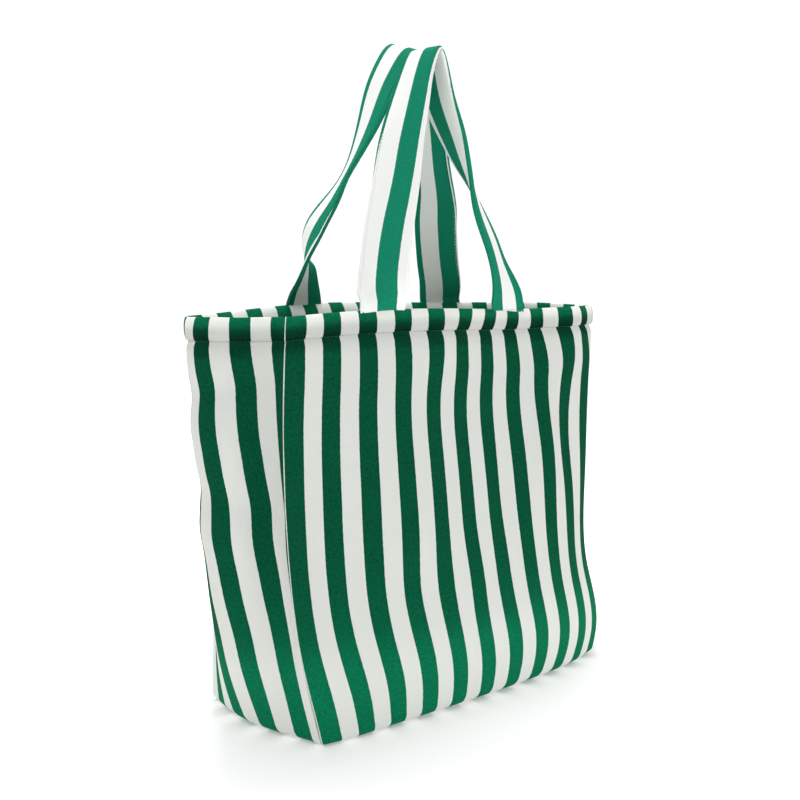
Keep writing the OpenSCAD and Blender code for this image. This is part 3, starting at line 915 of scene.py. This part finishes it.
def stitch_mesh(name, places, material):
    """A row of sewn stitches as one mesh: each a short rounded thread, sunk at both ends.

    places holds (middle, direction along, direction out, place in the print) for each.
    """
    turn = np.linspace(0, 2 * math.pi, STITCH_SIDES, endpoint=False)
    # places along the stitch as shares of its length, then its width and its height there
    # in thread radii
    steps = ((-0.5, 0.25, -0.9), (-0.36, 0.85, 0.0), (0.0, 1.0, 0.35), (0.36, 0.85, 0.0),
             (0.5, 0.25, -0.9))
    verts, faces, uv = [], [], []
    for middle, along, out, (u, v) in places:
        side = np.cross(along, out)
        first = len(verts)
        for step, wide, high in steps:
            centre = middle + along * step * STITCH_LONG + out * high * THREAD
            for a in turn:
                verts.append(centre + THREAD * wide * (math.cos(a) * out + math.sin(a) * side))
                uv.append((u, v + step * STITCH_LONG))
        last = first + (len(steps) - 1) * STITCH_SIDES
        faces += grid_faces(len(steps), STITCH_SIDES, first, wrap=True)
        faces += [[first + k for k in range(STITCH_SIDES)][::-1],
                  [last + k for k in range(STITCH_SIDES)]]
    return mesh_object(name, np.array(verts), faces, np.array(uv), [material])


def make_handle(side, route, outer_sign, print_scale, drift):
    """A carrying band, its topstitching, and its two ends sewn inside the hem."""
    body = side + "_handle"
    rings, s, face = band_rings(side, route, outer_sign)
    flip = outer_sign > 0
    z = rings[..., 2].mean(1)
    free = np.where(z > LEG_CUT)[0]
    a, b = free[0], free[-1] + 1
    band = band_mesh(side + "_carrying_band", rings[a:b], s[a:b], flip, print_scale, drift)
    for end, lo, hi in (("left", 0, a + 1), ("right", b - 1, len(s))):
        piece = band_mesh(f"{side}_band_{end}_end", rings[lo:hi], s[lo:hi], flip, print_scale,
                          drift)
        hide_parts(f"{side}_handle_{end}_end")
        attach(piece, "bag")
    # stitches on both faces, near the sewn edge
    profile = band_profile()
    near = [int(np.argmin(abs(profile[:, 0] - BAND_STITCH) + (profile[:, 1] * sign < 0)))
            for sign in (1, -1)]
    count = int((s[b - 1] - s[a]) / STITCH_PITCH)
    places = []
    for k in range(1, count):
        at = s[a] + k * STITCH_PITCH
        for c, sign in zip(near, (1, -1)):
            p, q = (np.array([np.interp(at + d, s, rings[:, c, i]) for i in range(3)])
                    for d in (-STITCH_LONG / 2, STITCH_LONG / 2))
            out = unit(np.array([np.interp(at, s, face[:, i]) for i in range(3)])) * sign
            print_u = (profile[c, 2] - sign * STITCH_PRINT) * print_scale - float(drift(at))
            places.append(((p + q) / 2 + out * BAND_STITCH_RISE, unit(q - p), out, (print_u, at)))
    stitches = stitch_mesh(side + "_band_topstitch", places, handle_cloth)
    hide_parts(body)
    for piece in (band, stitches):
        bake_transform(piece)


# ---- seams inside the bag, and the stitches of the hem ----

# The folded strip in a corner: how far in it lies, its width and thickness, its own print
SEAM_IN = 8.0 * MM
SEAM_W, SEAM_THICK = 9 * MM, 3.2 * MM
SEAM_PRINT = 3 * CM
# The strip round the base: how far in and above the cloth it lies, and half its size
BASE_SEAM_IN, BASE_SEAM_UP = 5 * MM, 3 * MM
BASE_SEAM_HALF_W, BASE_SEAM_HALF_T = 4.5 * MM, 1.7 * MM


def make_hem_stitches():
    """One line of stitches in the crease under the hem, outside and inside the bag."""
    places = []
    for side, wall in walls.items():
        count = int(wall.width / STITCH_PITCH)
        t = (np.arange(count) + 0.5) / count
        p, heading = wall.section(HEM_Z, t)
        inward = inward_at(wall, HEM_Z, heading, t)
        lift = wall.lift(t) * CM
        for k in range(count):
            along = np.array([heading[k, 0], heading[k, 1], 0])
            out = np.array([-inward[k, 0], -inward[k, 1], 0])
            out /= np.linalg.norm(out)
            z = HEM_Z + lift[k]
            outer = np.array([*(p[k] + inward[k] * CREASE_SINK), z]) + out * HEM_STITCH_RISE
            inner = np.array([*(p[k] + inward[k] * (CREASE_SINK + CLOTH)), z]) - out * HEM_STITCH_RISE
            places += [(outer, along, out, (0.0, z)), (inner, along, -out, (0.0, z))]
    obj = stitch_mesh("hem_topstitch_threads", places, thread)
    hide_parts("hem_topstitch")
    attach(obj, "bag")


def strip_mesh(name, node, middles, across, out):
    """A folded strip of raw edges: a soft flat tube through middles."""
    turn = np.linspace(0, 2 * math.pi, 14, endpoint=False)
    x = np.sign(np.cos(turn)) * abs(np.cos(turn)) ** 0.7 * SEAM_W / 2
    y = np.sign(np.sin(turn)) * abs(np.sin(turn)) ** 0.8 * SEAM_THICK / 2
    rings = middles[:, None] + across[:, None] * x[None, :, None] + out[:, None] * y[None, :, None]
    run = run_length(middles)
    uv = np.stack([np.broadcast_to(x[None, :] + SEAM_PRINT, rings.shape[:2]),
                   np.broadcast_to(run[:, None], rings.shape[:2])], -1)
    count, k = rings.shape[:2]
    faces = grid_faces(count, k, wrap=True)
    faces += [list(range(k))[::-1], [(count - 1) * k + j for j in range(k)]]
    obj = mesh_object(name, rings.reshape(-1, 3), faces, uv.reshape(-1, 2), [body_cloth])
    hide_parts(node)
    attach(obj, "bag")


def make_corner_seam(name, node, side, at_end):
    """The raw edges of two walls, folded together into the bag's corner."""
    wall = walls[side]
    t = np.array([1.0 if at_end else 0.0])
    z = np.linspace(3.2 * CM, HEM_Z - 6 * MM, 90)
    p, inward = [], []
    for h in z:
        q, heading = wall.section(h, t)
        d = unit(inward_at(wall, h, heading, t))[0]
        wave = 0.5 * MM * math.sin(h / (23 * MM)) + 0.3 * MM * math.sin(h / (9 * MM) + 1)
        p.append([*(q[0] + d * (SEAM_IN + wave)), h])
        inward.append([*d, 0])
    p, inward = np.array(p), np.array(inward)
    side_way = np.cross(inward, (0, 0, 1.0))
    strip_mesh(name, node, p, inward, side_way)


def make_base_seam():
    """The strip that covers the seam round the base, inside the bag."""
    line = []
    for side in ("front", "right", "back", "left"):
        t = np.linspace(0, 1, 60)[:-1]
        points = wall_surface(walls[side], t, [(math.radians(14), 0.0)])[0][0]
        _, heading = walls[side].section(1 * CM, t)
        inward = unit(inward_at(walls[side], 1 * CM, heading, t))
        for q, d in zip(points, inward):
            line.append((*(q[:2] + d * BASE_SEAM_IN), q[2] + CLOTH + BASE_SEAM_UP, *d))
    line = np.array(line)
    for _ in range(4):
        line = (np.roll(line, 1, 0) + 2 * line + np.roll(line, -1, 0)) / 4
    p, d = line[:, :3], np.concatenate([unit(line[:, 3:]), np.zeros((len(line), 1))], 1)
    up = unit(np.array([0, 0, 1.0]) - d * 0.6)
    across = unit(np.array([0, 0, 0.6]) + d)
    turn = np.linspace(0, 2 * math.pi, 12, endpoint=False)
    x, y = np.cos(turn) * BASE_SEAM_HALF_W, np.sin(turn) * BASE_SEAM_HALF_T
    rings = p[:, None] + across[:, None] * x[None, :, None] + up[:, None] * y[None, :, None]
    rings = np.concatenate([rings, rings[:1]])
    run = run_length(rings[:, 0])
    uv = np.stack([np.broadcast_to(run[:, None], rings.shape[:2]),
                   np.broadcast_to(x[None, :], rings.shape[:2])], -1)
    verts, k = rings.reshape(-1, 3), len(turn)
    faces = grid_faces(len(rings), k, wrap=True)
    obj = mesh_object("base_seam_strip", verts, faces, uv.reshape(-1, 2), [body_cloth])
    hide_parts("base_seam")
    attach(obj, "bag")


# ---- the scene ----

make_camera()
make_world()
for light in LIGHTS:
    area_light(*light)
make_floor()
# the body's greens are painted paler near the base, as painted light from the floor, and darker
# in the crease under the hem, as painted shade; the hem's are painted palest over the top of the
# roll and down its inner side, a painted highlight, and darkest at its crease, painted shade
BODY_PAINTED_SHADING = ((0.0, 2.6), (0.07, 2.6), (0.13, 1.55), (0.20, 1.18), (0.38, 1.10), (0.415, 1.05),
              (0.425, 0.7), (0.45, 1.0))
HEM_PAINTED_SHADING = ((HEM_Z, 0.25), (HEM_Z + 0.003, 0.38), (HEM_Z + 0.010, 0.70), (HEM_Z + 0.019, 1.90),
             (HEM_Z + 0.036, 2.4), (HEM_Z + 0.046, 1.8), (HEM_Z + 0.06, 0.5))
body_cloth = cloth_material("striped_canvas", painted_shading=BODY_PAINTED_SHADING)
hem_cloth = cloth_material("striped_canvas_hem", painted_shading=HEM_PAINTED_SHADING, white_share=0.28)
# the bands take the same cloth in lighter colours, painted light from above on the handles
handle_cloth = cloth_material("striped_canvas_band", BAND_GREEN_PAINTED_LIGHT, BAND_WHITE_PAINTED_LIGHT, grain=0.18)
thread = thread_material()

base = make_base()
for side, node, shear in (("front", "front_panel", front_shear), ("right", "right_gusset", no_shear),
                          ("back", "back_panel", no_shear), ("left", "left_gusset", no_shear)):
    cloth = make_wall(side + "_canvas", node, walls[side])
    roll = make_hem(side + "_hem_roll", side, shear)
make_hem_stitches()
for name, side, at_end in (("front_left", "left", True), ("front_right", "front", True),
                           ("back_right", "right", True), ("back_left", "back", True)):
    make_corner_seam(name + "_seam_strip", name + "_seam", side, at_end)
make_base_seam()
make_handle("front", FRONT_ROUTE, 1, FRONT_PRINT, FRONT_DRIFT)
make_handle("back", BACK_ROUTE, -1, BACK_PRINT, BACK_DRIFT)
